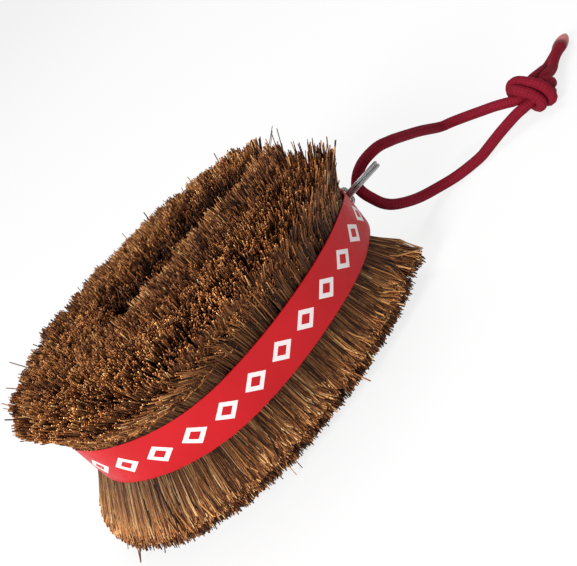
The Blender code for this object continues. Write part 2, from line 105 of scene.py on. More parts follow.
class Wire:
    # a shader socket that takes part in sums, also with plain numbers
    def __init__(self, paint, socket):
        self.paint = paint
        self.socket = socket

    def maths(self, operation, first, second):
        return self.paint.node("ShaderNodeMath", {"operation": operation}, {0: first, 1: second})

    def apply(self, operation):
        # a function of one number, such as SINE or FLOOR
        return self.paint.node("ShaderNodeMath", {"operation": operation}, {0: self})

    def __add__(self, other):
        return self.maths("ADD", self, other)

    def __radd__(self, other):
        return self.maths("ADD", other, self)

    def __sub__(self, other):
        return self.maths("SUBTRACT", self, other)

    def __rsub__(self, other):
        return self.maths("SUBTRACT", other, self)

    def __mul__(self, other):
        return self.maths("MULTIPLY", self, other)

    def __rmul__(self, other):
        return self.maths("MULTIPLY", other, self)

    def __truediv__(self, other):
        return self.maths("DIVIDE", self, other)

    def __gt__(self, other):
        return self.maths("GREATER_THAN", self, other)

    def __lt__(self, other):
        return self.maths("LESS_THAN", self, other)


class Paint:
    # a material being made; fixed values go on the shader's own sockets
    def __init__(self, name, roughness=0.5, metallic=0, **fixed):
        self.material = bpy.data.materials.new(name)
        self.material.use_nodes = True
        self.tree = self.material.node_tree
        self.shader = self.tree.nodes["Principled BSDF"]
        self.shader.inputs["Roughness"].default_value = roughness
        self.shader.inputs["Metallic"].default_value = metallic
        for key, value in fixed.items():
            self.shader.inputs[key.replace("_", " ")].default_value = value

    def node(self, kind, settings, sockets, output=0):
        made = self.tree.nodes.new(kind)
        for key, value in settings.items():
            if key == "stops":
                ramp = made.color_ramp
                while len(ramp.elements) < len(value):
                    ramp.elements.new(0.5)
                for element, (place, colour) in zip(ramp.elements, value):
                    element.position = place
                    element.color = (*colour, 1)
            else:
                setattr(made, key, value)
        for key, value in sockets.items():
            if isinstance(value, Wire):
                self.tree.links.new(value.socket, made.inputs[key])
            else:
                made.inputs[key].default_value = value
        return Wire(self, made.outputs[output])

    def feed(self, name, wire):
        self.tree.links.new(wire.socket, self.shader.inputs[name])

    def objectPlace(self):
        return self.node("ShaderNodeTexCoord", {}, {}, "Object")

    def uvPlace(self, name):
        return self.node("ShaderNodeUVMap", {"uv_map": name}, {})

    def split(self, wire):
        first = self.node("ShaderNodeSeparateXYZ", {}, {0: wire})
        return [Wire(self, socket) for socket in first.socket.node.outputs]

    def join(self, x, y, z=0.0):
        return self.node("ShaderNodeCombineXYZ", {}, {0: x, 1: y, 2: z})

    def noise(self, place, scale, detail=3.0):
        return self.node("ShaderNodeTexNoise", {}, {"Vector": place, "Scale": scale, "Detail": detail})

    def ramp(self, wire, stops):
        return self.node("ShaderNodeValToRGB", {"stops": stops}, {0: wire})

    def spread(self, wire, low, high, toLow=0.0, toHigh=1.0):
        return self.node("ShaderNodeMapRange", {}, {0: wire, 1: low, 2: high, 3: toLow, 4: toHigh})

    def blend(self, amount, first, second, how="MIX"):
        settings = {"data_type": "RGBA", "blend_type": how}
        first, second = ((*c, 1) if isinstance(c, tuple) else c for c in (first, second))
        return self.node("ShaderNodeMix", settings, {0: amount, 6: first, 7: second}, 2)

    def bump(self, height, strength, distance):
        return self.node("ShaderNodeBump", {}, {"Strength": strength, "Distance": distance, "Height": height})


# Meshes and objects

def meshFrom(name, form, smooth=False):
    # the finished bmesh as a mesh
    mesh = bpy.data.meshes.new(name)
    form.to_mesh(mesh)
    form.free()
    for face in mesh.polygons:
        face.use_smooth = smooth
    return mesh


def addPiece(name, mesh, material):
    mesh.materials.append(material)
    piece = bpy.data.objects.new(name, mesh)
    scene.collection.objects.link(piece)
    return piece


# Hanging cord: two halves of one doubled cord, each from the ring to the melted tip

cord = {
    "radius": 0.00163,  # the braid swells a little over its real 3 mm
    "diameter": 0.003,
    "resolution": 4,
    "routeUnits": 10000,  # in a metre
    "pointStep": 0.001,
    "pathEvery": 3,  # points of the line to one point of the path that addCord builds
    "twist": 0.0018,  # length of one repeat of the braid
    "strands": 5,  # that wind round it each way
    "spotScale": 900.0,
    "relief": 0.00015,
    "colour": (0.185, 0.005, 0.016),
    "fleck": (0.115, 0.003, 0.010),
    "light": (0.24, 0.009, 0.022),
}

# the points of each half, in tenths of a millimetre
upperRoute = [
    (549, 0, 226), (573, -2, 250), (610, -8, 267), (662, -16, 269), (705, -12, 252),
    (745, 6, 228), (833, 46, 170), (915, 80, 110), (944, 64, 102), (971, 44, 95),
    (995, 20, 90), (1017, -6, 86), (1038, -33, 83), (1058, -61, 78), (1080, -86, 71),
    (1111, -100, 73), (1143, -114, 71), (1173, -125, 61), (1192, -115, 37), (1188, -85, 28),
    (1163, -65, 40), (1139, -56, 61), (1111, -67, 75), (1092, -79, 98), (1090, -112, 96),
    (1099, -137, 75), (1104, -150, 45), (1107, -128, 22), (1115, -98, 32), (1137, -86, 55),
    (1164, -74, 69), (1194, -60, 61), (1224, -47, 49), (1252, -32, 37), (1280, -16, 24),
    (1325, 1, 19), (1366, 14, 19),
]

lowerRoute = [
    (549, 0, 226), (548, -10, 202), (557, -18, 171), (572, -28, 137), (602, -34, 107),
    (670, -22, 62), (754, -12, 26), (817, -34, 17), (888, -56, 16), (921, -62, 20),
    (953, -68, 26), (986, -76, 33), (1017, -85, 39), (1049, -96, 45), (1080, -109, 48),
    (1111, -121, 51), (1141, -135, 48), (1165, -130, 28), (1166, -101, 15), (1144, -77, 21),
    (1123, -55, 35), (1112, -38, 61), (1117, -44, 92), (1122, -73, 105), (1122, -107, 103),
    (1129, -136, 89), (1135, -158, 65), (1136, -160, 33), (1136, -132, 18), (1146, -108, 35),
    (1173, -97, 51), (1204, -88, 54), (1234, -75, 43), (1262, -60, 36), (1290, -42, 36),
    (1330, -22, 35), (1368, -9, 33),
]


def smoothLine(points, step):
    # points about a step apart on a smooth curve
    units = cord["routeUnits"]
    points = [Vector([part / units for part in point]) + Vector((middleX, 0, 0)) for point in points]
    line = [points[0]]
    for i in range(len(points) - 1):
        before, start, end = points[max(i - 1, 0)], points[i], points[i + 1]
        after = points[min(i + 2, len(points) - 1)]
        count = max(round((end - start).length / step), 1)
        for k in range(1, count + 1):
            t = k / count
            pull = (end - before) * (t - 2 * t**2 + t**3) / 2
            push = (after - start) * (t**3 - t**2) / 2
            line.append(start + (end - start) * (3 * t**2 - 2 * t**3) + pull + push)
    return line


def lineLength(line):
    return sum((end - start).length for start, end in zip(line, line[1:]))


def addTube(name, line, radius, resolution, material):
    # a round wire or cord, with its length and turn in a UV map
    curve = bpy.data.curves.new(name, "CURVE")
    curve.dimensions = "3D"
    curve.bevel_depth = radius
    curve.bevel_resolution = resolution
    curve.use_fill_caps = True
    spline = curve.splines.new("POLY")
    spline.points.add(len(line) - 1)
    for slot, point in zip(spline.points, line):
        slot.co = (*point, 1)
    holder = bpy.data.objects.new(name, curve)
    mesh = bpy.data.meshes.new_from_object(holder)
    mesh.name = name
    bpy.data.objects.remove(holder)
    bpy.data.curves.remove(curve)
    mesh.uv_layers[0].name = "along"
    for face in mesh.polygons:
        face.use_smooth = True
    return addPiece(name, mesh, material)


def braidPaint(length):
    paint = Paint("braidedCord", roughness=0.75, Specular_IOR_Level=0.12)
    along, around, _ = paint.split(paint.uvPlace("along"))
    turns = length / cord["twist"]
    first = along * turns + around * cord["strands"]
    second = along * turns - around * cord["strands"]
    weave = (first * math.tau).apply("SINE") * (second * math.tau).apply("SINE")
    spots = paint.noise(paint.objectPlace(), cord["spotScale"], 2.0)
    shade = paint.spread(weave * 0.5 + spots * 1.6, -0.3, 1.5)
    stops = [(0.0, cord["fleck"]), (0.55, cord["colour"]), (1.0, cord["light"])]
    paint.feed("Base Color", paint.ramp(shade, stops))
    paint.feed("Normal", paint.bump(weave + spots, 0.45, cord["relief"]))
    return paint.material


# the cord's two ends, melted together and pinched to a slanting point
meltedTip = {
    "middle": (0.1386, 0.0011, 0.0026),
    "way": (0.93, 0.36, 0),  # the way the ends point
    "side": (0.30, -0.79, 0.54),  # from one end to the other
    "front": 0.0062,  # from the middle to the point
    "back": 0.0048,
    "halfWidth": 0.0034,
    "halfThickness": 0.0021,
    "pinch": 0.60,  # share of the width and thickness lost at the point
    "pinchPower": 1.7,
    "slant": 0.0005,
    "fade": (-0.0050, 0.0046),  # from red to pale, along the way
    "wander": 0.0016,
    "stops": [
        (0.0, cord["colour"]), (0.22, (0.09, 0.010, 0.012)), (0.44, (0.12, 0.025, 0.024)),
        (0.56, (0.50, 0.15, 0.15)), (1.0, (0.66, 0.27, 0.27)),
    ],
}


def tipPaint(middle, way):
    paint = Paint("meltedCord", roughness=0.45, Specular_IOR_Level=0.25)
    place = paint.objectPlace()
    x, y, _ = paint.split(place)
    reach = (x - middle.x) * way.x + (y - middle.y) * way.y
    cloud = paint.noise(place, 500.0)
    share = paint.spread(reach + cloud * meltedTip["wander"], *meltedTip["fade"])
    paint.feed("Base Color", paint.ramp(share, meltedTip["stops"]))
    paint.feed("Normal", paint.bump(cloud, 0.5, 0.0004))
    return paint.material


def addTip():
    blob = bmesh.new()
    bmesh.ops.create_uvsphere(blob, u_segments=32, v_segments=24, radius=1)
    x, y, z = meltedTip["middle"]
    middle = Vector((x + middleX, y, z))
    way, side = (Vector(meltedTip[key]).normalized() for key in ("way", "side"))
    thin = way.cross(side).normalized()
    for vert in blob.verts:
        spot = vert.co.copy()
        forward = max(spot.z, 0)
        taper = 1 - meltedTip["pinch"] * forward ** meltedTip["pinchPower"]
        reach = meltedTip["front"] if spot.z > 0 else meltedTip["back"]
        across = spot.x * meltedTip["halfWidth"] * taper - meltedTip["slant"] * forward
        depth = meltedTip["halfThickness"]
        vert.co = middle + way * spot.z * reach + side * across + thin * spot.y * depth * taper
    piece = addPiece("meltedTip", meshFrom("meltedTip", blob, smooth=True), tipPaint(middle, way))
    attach(piece, "cord")
    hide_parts("cord_tip")
    return piece


def addCord():
    # each half: its route, the CAD nodes that it replaces and the pieces on it
    halves = {
        "cordUpperHalf": (upperRoute, ["cord_loop", "cord_knot", "cord_tail_a"], [addTip()]),
        "cordLowerHalf": (lowerRoute, ["cord_tail_b"], []),
    }
    every = cord["pathEvery"]
    for name, (route, nodes, carried) in halves.items():
        line = smoothLine(route, cord["pointStep"])
        length = lineLength(line)
        piece = addTube(name, line, cord["radius"], cord["resolution"], braidPaint(length))
        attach(piece, "cord")
        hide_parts(*nodes)
        path = [tuple(point) for point in line[:-every:every] + line[-1:]]
    print("cord made")


addCord()


# Fibres, thousands of strands from the twisted wire to the trimmed tips

# in every table of this file the key 1 is the upper half, and -1 the lower
fibres = {
    "legStrands": 13600,
    "bendStrands": 10400,  # in each half of the bend
    "sides": 3,
    "radius": 0.00019,  # at the root
    "radiusSpread": (0.65, 1.3),
    "taper": (1.0, 0.95, 0.85),  # share of the radius at the root, the middle and the tip
    "surfaceRadius": 0.2,  # added on the surface strands
    "depthSpread": {1: 0.0004, -1: 0.0007},  # inwards, where the strands leave the band
    "tuft": (0.0030, 0.0070),  # its size along the wire and across it
    "tuftStrands": 40,
    "tuftLift": {1: 0.0005, -1: 0.0002},
    "surfaceCalm": 0.8,  # how much less of it the surface strands get
    "gather": 0.32,  # how far the tips of a tuft draw together
    "gatherSpread": (0.5, 1.5),
    "gatherShare": {1: 1, -1: 0.6},
    "clumps": 26,  # of lower surface strands, in one section
    "clumpPull": 0.85,
    "clumpPullMost": 0.0024,
    "shorter": 0.0002,  # taken off every strand's length
    "lengthSpread": 0.0004,
    "surfaceLengthSpread": 0.0002,
    "endLonger": 0.0009,  # mean, for the upper front strands at the open end
    "endShorter": 0.0006,  # taken off all of those
    "endLongerX": (0.024, 0.034),
    "rimLonger": 0.0026,  # for the outermost lower strands there
    "rimLongerX": (0.0305, 0.0340),
    "endFaceX": 0.0318,  # strands past this are seen nearly down to the wire
    "endFaceDrop": 0.7,
    "strays": 0.003,  # share of the strands
    "strayLength": (0.0008, 0.0030),
    "straySpread": 0.0016,
    "leaning": 0.14,  # share of the strands that lean much
    "lean": (0.15, 0.04),  # along the wire, for those and for the rest, as a share of the length
    "tipSpread": 0.0002,
    "middleSpread": 0.00009,
    "skinLeg": 0.02,  # share that lies along the surface over the band, on the legs
    "skinCluster": 0.05,  # more in clusters
    "skinClusters": (41, 0.2),  # waves along a section, and from what height they are clusters
    "skinBend": 0.075,
    "skinBendX": -0.016,
    "skinRows": (-0.3, 1.0),
    "rimShare": 0.13,  # of the lower strands: long ones that reach the rim
    "rimRow": 1.1,
    "rimRows": (0.8, 1.3),
    "sweepTip": 0.48,  # share of the length, swept back beside the bend
    "sweepMiddle": 0.18,
    "sweepFrom": (-0.036, -0.025),
    "sweepTo": (-0.014, 0.008),
    "seed": 11,  # of the first section
}

# rows of tips that both upper legs share
outerTips = [(0.78, 0.31), (0.66, 0.43), (0.82, 0.70), (1.00, 0.86), (0.80, 0.95), (0.45, 1.00)]

# the roll of fibre: a wire bent like a hairpin, with its rows of strands from the band's edge to the valley
shape = {
    "bandHalfLength": 0.049,
    "bandHalfWidth": 0.032,
    "bandRoundness": 2.15,
    "bandWall": 0.0007,  # the strip's wall and a gap
    "halfBand": 0.006,
    "legOffset": 0.0185,  # from the brush's middle line to the wire
    "legEndOffset": 0.012,
    "legEndX": 0.035,
    "taperStartX": 0.008,
    "bendCentreX": -0.018,
    "fanStartX": 0.004,
    "neckDrop": 0.0010,  # how far below the band's edge the strands start to show
    "skinRow": 0.42,  # a surface strand bends towards the tips at this share of its row
    "skinPull": 0.75,
    "innerSplay": {1: 0.0035, -1: 0.0085},  # here 1 is the back leg and -1 the front leg
    "innerSplayX": (0.010, 0.035),
    "rootRadius": 0.0039,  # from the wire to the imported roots' surface
    "rootArc": math.radians(145),
    "cling": {1: (-0.1, 0.5), -1: (1.5, 3.0)},  # rows over which the strands leave the surface
    "height": 0.025,  # from the waist to the crest
    "bendHole": 0.004,  # left free in the middle of the bend
    "valley": 0.0006,  # half the gap between the legs
    "fan": {1: math.radians(17), -1: math.radians(22)},  # how far the strands lean forward at the open end
    # how far the strands stand out past the band, by X
    "flareX": (-0.0365, -0.0180, 0.0000, 0.0180, 0.0350),
    "flare": {1: (0.0069, 0.0079, 0.0062, 0.0060, 0.0062), -1: (0.0103, 0.0076, 0.0056, 0.0048, 0.0070)},
    "valleyX": (-0.0180, 0.0000, 0.0180, 0.0350),
    "valleyY": (-0.0045, 0.0000, 0.0045, 0.0060),  # the upper front leg leans over the back one
    "tipRun": (0.020, 0.025),  # reach and height by which the rows are spaced
    "trimLow": (-0.0024, -0.0008, 0.0004),  # strands are cut this far from the CAD box's low corner
    "trimHigh": (0, 0.0008, 0.0012),  # and this far from the high one
    "halvings": 24,  # in the search for the band's wall
    # rows from over the band's edge to the valley: share of the sideways reach, share of the height
    "tips": {
        1: np.array(outerTips + [(-0.06, 1.00), (-0.60, 1.00), (-0.97, 0.97), (-1.00, 0.50)]),
        # the upper back leg, which the front one leans over
        "back": np.array(outerTips + [(-0.06, 0.99), (-0.56, 0.90), (-0.92, 0.70), (-1.00, 0.38)]),
        -1: np.array([
            (0.86, 0.32), (0.80, 0.43), (1.00, 0.66), (1.00, 0.81), (0.79, 0.90), (0.47, 1.00),
            (-0.06, 1.00), (-0.58, 0.92), (-1.00, 0.68), (-1.00, 0.28),
        ]),
    },
}

band = {
    # the height of its edges from the waist, by X: it slants a little and narrows to the eye
    "edgeX": (-0.049, -0.042, -0.035, -0.026, -0.016, 0.000, 0.015, 0.030, 0.039, 0.044, 0.047, 0.049),
    "edge": {
        1: (0.0096, 0.0085, 0.0072, 0.0059, 0.0056, 0.0062, 0.0071, 0.0076, 0.0076, 0.0064, 0.0046, 0.0036),
        -1: (0.0038, 0.0050, 0.0063, 0.0075, 0.0078, 0.0070, 0.0061, 0.0058, 0.0058, 0.0060, 0.0062, 0.0063),
    },
    "wall": 0.0004,
    "averageOver": (-0.003, -0.0015, 0, 0.0015, 0.003),  # so that the edges have no corners
    "segments": 288,
    "measures": 2000,  # of the oval, for the print
    "slotShare": 0.84,  # of the strip's height, cut out for the eye
    "slotHalfWidth": 0.0012,
    "markPitch": 0.0096,  # from one printed lozenge to the next
    "markLength": 0.0036,
    "markHeight": 0.0030,
    "markHole": 0.5,
    "outward": 0.005,  # the plane of an outer face is farther than this from the middle
    "markColour": (0.80, 0.72, 0.72),
    "colours": ((0.44, 0.006, 0.010), (0.50, 0.008, 0.013)),
}

rows = np.arange(len(shape["tips"][1])) - 1  # row -1 hangs over the band's edge
lastRow = rows[-1]  # in the valley
upWay = np.array([0.0, 0.0, 1.0])


class Stations:
    # places along the wire, one for each strand
    def __init__(self, point, along, outward, fan):
        self.point, self.along, self.outward, self.fan = point, along, outward, fan

    def place(self, sideways, height):
        reach = np.hypot(sideways, height)
        spread = self.outward * sideways[:, None] + upWay * height[:, None]
        lean = self.along * (reach * np.sin(self.fan))[:, None]
        return self.point + spread * np.cos(self.fan)[:, None] + lean

    def level(self, height):
        return height / np.cos(self.fan)

    def reach(self, allowed, direction, height):
        near = np.zeros(len(self.fan))
        far = np.full(len(self.fan), shape["bandHalfLength"])
        for _ in range(shape["halvings"]):
            middle = (near + far) / 2
            inside = allowed(self.place(direction * middle, height))
            near = np.where(inside, middle, near)
            far = np.where(inside, far, middle)
        return near


def insideBand(points):
    x = np.abs(points[:, 0]) / (shape["bandHalfLength"] - shape["bandWall"])
    y = np.abs(points[:, 1]) / (shape["bandHalfWidth"] - shape["bandWall"])
    return x ** shape["bandRoundness"] + y ** shape["bandRoundness"] < 1


def legStations(share, side, fan):
    x = shape["bendCentreX"] + (shape["legEndX"] - shape["bendCentreX"]) * share
    taper = shape["legEndX"] - shape["taperStartX"]
    run = np.maximum((x - shape["taperStartX"]) / taper, 0)
    drawIn = shape["legOffset"] - shape["legEndOffset"]
    flat = np.zeros(len(x))
    point = np.stack([x, side * (shape["legOffset"] - drawIn * run**2), flat], axis=1)
    along = np.stack([flat + 1, -side * 2 * drawIn * run / taper, flat], axis=1)
    along /= np.linalg.norm(along, axis=1)[:, None]
    outward = np.stack([-side * along[:, 1], side * along[:, 0], flat], axis=1)
    fanRun = np.maximum((x - shape["fanStartX"]) / (shape["legEndX"] - shape["fanStartX"]), 0)
    return Stations(point, along, outward, fan * fanRun**2)


def bendStations(angle):
    outward = np.stack([np.cos(angle), np.sin(angle), np.zeros(len(angle))], axis=1)
    point = outward * shape["legOffset"] + np.array([shape["bendCentreX"], 0, 0])
    along = np.stack([outward[:, 1], -outward[:, 0], np.zeros(len(angle))], axis=1)
    return Stations(point, along, outward, np.zeros(len(angle)))


def mix(first, second, share):
    return first + (second - first) * share[:, None]


def smoothStep(value, start, end):
    run = np.clip((value - start) / (end - start), 0, 1)
    return run * run * (3 - 2 * run)


def bandEdge(x, half):
    # the height of the strip's upper or lower edge, from the waist
    shifts = band["averageOver"]
    return sum(np.interp(x + shift, band["edgeX"], band["edge"][half]) for shift in shifts) / len(shifts)


def bandRoom(x, wall):
    # half the room across the band at x, that far inside its outline
    power = shape["bandRoundness"]
    share = 1 - (x / (shape["bandHalfLength"] - wall)) ** power
    return (shape["bandHalfWidth"] - wall) * share ** (1 / power)


def valleyPlace(points, half):
    return np.interp(points[:, 0], shape["valleyX"], shape["valleyY"]) * (half == 1)


def tipPlaces(stations, row, half, valleySide):
    tips = shape["tips"]["back"] if half == 1 and valleySide == 1 else shape["tips"][half]
    reachShare = np.interp(row, rows, tips[:, 0])
    height = np.interp(row, rows, tips[:, 1]) * shape["height"]
    atBand = stations.level(np.full(len(row), shape["halfBand"]))
    flare = np.interp(stations.point[:, 0], shape["flareX"], shape["flare"][half])
    outward = stations.reach(insideBand, 1, atBand) + flare
    if valleySide:
        def ownSide(points):
            return (points[:, 1] - valleyPlace(points, half)) * valleySide > shape["valley"]
        inward = stations.reach(ownSide, -1, height)
    else:
        inward = np.full(len(row), shape["legOffset"] - shape["bendHole"])
    tip = stations.place(reachShare * np.where(reachShare > 0, outward, inward), half * height)
    if valleySide:
        # at the open end the inner strands splay forward and close the notch between the legs
        splay = smoothStep(stations.point[:, 0], *shape["innerSplayX"]) * np.clip(-reachShare, 0, 1)
        tip[:, 0] += shape["innerSplay"][valleySide] * splay
    return tip


def strandLines(stations, row, half, valleySide, depth, cling):
    # root, neck, middle and tip; strands that cling bend over the band's edge and run along the surface
    count = len(row)
    tip = tipPlaces(stations, row, half, valleySide)
    angle = shape["rootArc"] * (row + 1) / (lastRow + 1)
    root = stations.point + stations.outward * (shape["rootRadius"] * np.cos(angle))[:, None]
    root = root + upWay * (half * shape["rootRadius"] * np.sin(angle))[:, None]
    waist = np.full(count, shape["halfBand"])
    wall = stations.place(stations.reach(insideBand, 1, waist), waist)
    over = stations.level(bandEdge(wall[:, 0], half) - shape["neckDrop"])
    edge = stations.place(stations.reach(insideBand, 1, over) - depth, half * over)
    neck = mix(mix(root, tip, np.full(count, 0.5)), edge, cling)
    skin = tipPlaces(stations, row * shape["skinRow"], half, valleySide)
    middle = mix((neck + tip) / 2, skin, cling * shape["skinPull"])
    return root, neck, middle, tip


def gatherTufts(dice, tip, stations, count):
    # the middle strand of the tuft that each strand belongs to
    centres = dice.permutation(len(tip))[:count]
    difference = tip[:, None, :] - tip[centres][None, :, :]
    alongPart = np.einsum("ijk,ik->ij", difference, stations.along)
    whole = np.einsum("ijk,ijk->ij", difference, difference)
    size = fibres["tuft"]
    apart = alongPart**2 / size[0] ** 2 + np.maximum(whole - alongPart**2, 0) / size[1] ** 2
    return centres[np.argmin(apart, axis=1)]


def addStrands(name, points, radius, tone, capPlace, material):
    # one mesh of many thin strands, with an array of points and of radii for each
    sides = fibres["sides"]
    profile = bpy.data.curves.new("strandProfile", "CURVE")
    outline = profile.splines.new("POLY")
    outline.points.add(sides - 1)
    outline.use_cyclic_u = True
    for i, slot in enumerate(outline.points):
        angle = i * math.tau / sides
        slot.co = (math.cos(angle), math.sin(angle), 0, 1)
    profileHolder = bpy.data.objects.new("strandProfile", profile)
    scene.collection.objects.link(profileHolder)
    curve = bpy.data.curves.new(name, "CURVE")
    curve.dimensions = "3D"
    curve.bevel_mode = "OBJECT"
    curve.bevel_object = profileHolder
    curve.use_fill_caps = True
    count, steps = points.shape[:2]
    flat = np.concatenate([points, np.ones((count, steps, 1))], axis=2).astype(np.float32)
    for line, sizes in zip(flat, radius.astype(np.float32)):
        spline = curve.splines.new("POLY")
        spline.points.add(steps - 1)
        spline.points.foreach_set("co", line.ravel())
        spline.points.foreach_set("radius", sizes)
    holder = bpy.data.objects.new(name, curve)
    scene.collection.objects.link(holder)
    mesh = bpy.data.meshes.new_from_object(holder.evaluated_get(bpy.context.evaluated_depsgraph_get()))
    mesh.name = name
    for used in (holder, profileHolder):
        data = used.data
        bpy.data.objects.remove(used)
        bpy.data.curves.remove(data)
    paletteMap(mesh, points, tone, capPlace)
    return addPiece(name, mesh, material)


# where the strands' faces read the palette: u is the strand's tone, v the place along it
palette = {
    "left": 0.01,
    "width": 0.97,
    "cornerShift": 0.006,  # so that no face is a line in the map
    "bottom": 0.02,
    "height": 0.92,
    "rootCap": 0.01,
    # the upper caps get the cut ends' painted highlight; the lower ones sit low on the palette, in painted
    # shade under the rim
    "tipCap": {1: 0.98, -1: 0.4},
    "capShift": 0.01,
    "cutEndHighlight": 0.965,  # past this place a strand shows its cut end, painted 2.5 times brighter as a highlight
}


def paletteMap(mesh, points, tone, capPlace):
    # every face of a strand reads one narrow column of the palette
    count, steps = points.shape[:2]
    sides = fibres["sides"]
    corners = len(mesh.loops)
    vertexOf = np.empty(corners, np.int32)
    mesh.loops.foreach_get("vertex_index", vertexOf)
    capVerts = len(mesh.vertices) - count * steps * sides
    strand = np.empty(len(mesh.vertices), np.int32)
    step = np.empty(len(mesh.vertices), np.float32)
    body = np.arange(count * steps * sides)
    strand[capVerts:] = body // (steps * sides)
    step[capVerts:] = (body // sides) % steps
    caps = np.arange(capVerts)
    strand[:capVerts] = count - 1 - caps // (2 * sides)
    step[:capVerts] = np.where((caps // sides) % 2 == 0, steps - 1, 0)
    starts = np.empty(len(mesh.polygons), np.int32)
    mesh.polygons.foreach_get("loop_start", starts)
    order = np.arange(corners) - np.repeat(starts, np.diff(np.append(starts, corners)))
    u = palette["left"] + palette["width"] * tone[strand[vertexOf]] + palette["cornerShift"] * (order < 2)
    v = palette["bottom"] + palette["height"] * step[vertexOf] / (steps - 1)
    # tip caps read the places that give them their painted highlight or painted shade
    cap = np.where(step[vertexOf] > 0, capPlace, palette["rootCap"]) + palette["capShift"] * (order == 1)
    v = np.where(vertexOf < capVerts, cap, v)
    while mesh.uv_layers:
        mesh.uv_layers.remove(mesh.uv_layers[0])
    layer = mesh.uv_layers.new(name="OFBake")
    layer.data.foreach_set("uv", np.stack([u, v], axis=1).astype(np.float32).ravel())


def fibrePaint(name, dark, light):
    # dark and light: the places along a strand between which it comes out of the shadow
    paint = Paint(name, roughness=0.62, Specular_IOR_Level=0.2)
    tone, along, _ = paint.split(paint.uvPlace("OFBake"))
    colour = paint.ramp(tone, [
        (0.0, (0.012, 0.005, 0.003)),
        (0.26, (0.065, 0.021, 0.008)),
        (0.46, (0.22, 0.075, 0.024)),
        (0.64, (0.46, 0.18, 0.055)),
        (0.82, (0.68, 0.33, 0.11)),
        (1.0, (0.86, 0.57, 0.27)),
    ])
    streak = paint.noise(paint.join(tone * 60, along * 5), 3.0, 2.0)
    # painted highlight: the cut ends are made 2.5 times brighter
    cutEndHighlight = along > palette["cutEndHighlight"]
    shade = paint.spread(along, dark, light, 0.2, 1.0) * paint.spread(streak, 0.3, 0.7, 0.75, 1.2)
    shade = shade * (1 + cutEndHighlight * 1.5)
    paint.feed("Base Color", paint.blend(1.0, colour, paint.join(shade, shade, shade), "MULTIPLY"))
    return paint.material


def packedShadePaint():
    paint = Paint("packedFibreShade", roughness=0.9)
    grain = paint.noise(paint.objectPlace(), 1500.0, 3.0)
    # painted shade: nearly black, for the fibre deep inside in shade; the grain is the fibre's own
    paint.feed("Base Color", paint.ramp(grain, [(0.35, (0.008, 0.004, 0.003)), (0.7, (0.05, 0.022, 0.010))]))
    paint.feed("Normal", paint.bump(grain, 0.8, 0.0004))
    return paint.material


def skinShare(share, x, seed):
    # share of the strands that lie along the surface over the band: few on the legs, in clusters
    waves, gate = fibres["skinClusters"]
    onLeg = fibres["skinLeg"] + fibres["skinCluster"] * (np.sin(share * waves + seed) > gate)
    return np.where(x > fibres["skinBendX"], onLeg, fibres["skinBend"])


def spreadRows(dice, count, half, surfaceShare):
    # rows chosen so that the tips lie evenly over the trimmed surface, and which strands lie along it
    tips = shape["tips"][half][1:]
    runs = np.linalg.norm(np.diff(tips * np.array(shape["tipRun"]), axis=0), axis=1)
    places = np.concatenate([[0], np.cumsum(runs)]) / runs.sum()
    even = dice.permutation((np.arange(count) + dice.random(count)) / count)
    row = np.interp(even, places, rows[1:])
    if half == 1:
        skin = dice.random(count) < surfaceShare
        return np.where(skin, dice.uniform(*fibres["skinRows"], count), row), skin
    toRim = (row < fibres["rimRow"]) | (dice.random(count) < fibres["rimShare"])
    return np.where(toRim, dice.uniform(*fibres["rimRows"], count), row), toRim


def clumpPull(dice, share, stations):
    # how far surface strands lean towards their clump's middle, so that dark gaps open between clumps
    ends = np.sort(dice.random(fibres["clumps"]))
    middles = (ends[1:] + ends[:-1]) / 2
    own = middles[np.clip(np.searchsorted(ends, share) - 1, 0, len(middles) - 1)]
    whole = stations.point[-1:] - stations.point[:1]
    run = np.linalg.norm(np.ptp(stations.point, axis=0))
    toward = (own - share) * run * np.sign(np.einsum("ij,ij->i", stations.along, whole))
    most = fibres["clumpPullMost"]
    return np.clip(toward * fibres["clumpPull"], -most, most)


def trimTips(line):
    # strands are cut just over the ground, and where they would leave the CAD box too far
    low, high = (np.array(corner) for corner in cadBounds)
    low = low + np.array(shape["trimLow"])
    high = high + np.array(shape["trimHigh"])
    for axis in range(3):
        for limit, sign in ((low[axis], -1), (high[axis], 1)):
            past = (line[:, 2, axis] - limit) * sign > 0
            run = np.where(past, line[:, 2, axis] - line[:, 1, axis], 1)
            cut = np.clip((limit - line[:, 1, axis]) / run, 0, 1)
            shorter = line[:, 1] + (line[:, 2] - line[:, 1]) * cut[:, None]
            line[:, 2] = np.where(past[:, None], shorter, line[:, 2])


# how pale the strands are, as a place in the palette from 0, black, to 1, straw; some entries paint light and
# shade on parts of the brush
tones = {
    "upper": 0.42,
    "crest": 0.27,  # painted highlight added along the front leg's crest beside the valley
    "crestRow": 6.7,
    "crestWidth": 0.45,
    "skin": 0.06,
    # painted light added over the back leg to make it paler
    "backLegLight": 0.16,
    "backValleyShade": 0.42,  # painted shade taken off towards the valley, where the front crest shades the back leg
    "backValleyRows": (4.5, 6.0),
    "lower": 0.44,
    "lowerSurface": 0.08,
    "lowerInsideShade": 0.18,  # painted shade taken off behind the surface, where strands end under the rim in the surface strands' shadow
    "lowerInsideRows": (1.3, 1.7),
    # painted light on the bend, the end that faces the key lamp
    "bend": 0.05,
    "openEndShade": 0.05,  # painted shade taken off towards the open end, away from the key lamp
    "openEndX": (0.0, 0.03),
    "tuftSpread": 0.07,
    "spread": {1: 0.19, -1: 0.23},
    "bandEnd": 0.40,
    "bandEndSpread": 0.17,
}


